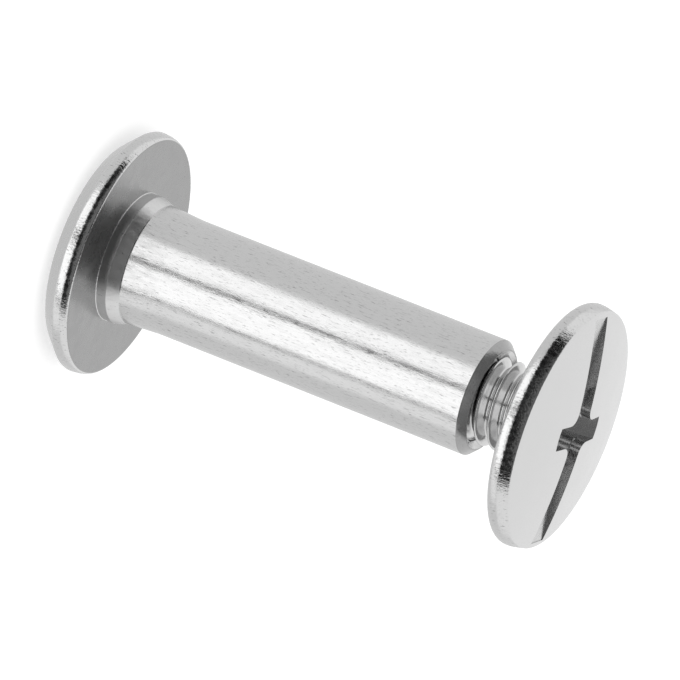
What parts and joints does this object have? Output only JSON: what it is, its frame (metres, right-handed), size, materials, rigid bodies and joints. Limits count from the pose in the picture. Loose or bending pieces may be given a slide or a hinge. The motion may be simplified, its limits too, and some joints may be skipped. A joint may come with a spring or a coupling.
{
  "type": "binding barrel screw",
  "caption": "Binding barrel screw: a headed, internally threaded barrel closed by a low-domed screw with a combined slot and cross drive.",
  "frame": {"origin": "centre of the barrel head's flat outer face, on which the pair stands", "axes": "+Z along the common axis of barrel and screw, from the barrel's head to the screw's head; +X along the screw's slot"},
  "size_m": [0.0168, 0.0168, 0.0359],
  "materials": {
    "barrel_steel": "satin bright plating with fine lengthwise streaks",
    "screw_steel": "smooth satin bright plating"
  },
  "bodies": {
    "barrel": {"barrel": "barrel_steel"},
    "screw": {"screw": "screw_steel"}
  },
  "joints": [
    {"name": "screw_feed", "type": "slide", "parent": "barrel", "child": "screw", "axis": [0, 0, 1], "range_m": [-0.004, 0.012]}
  ]
}
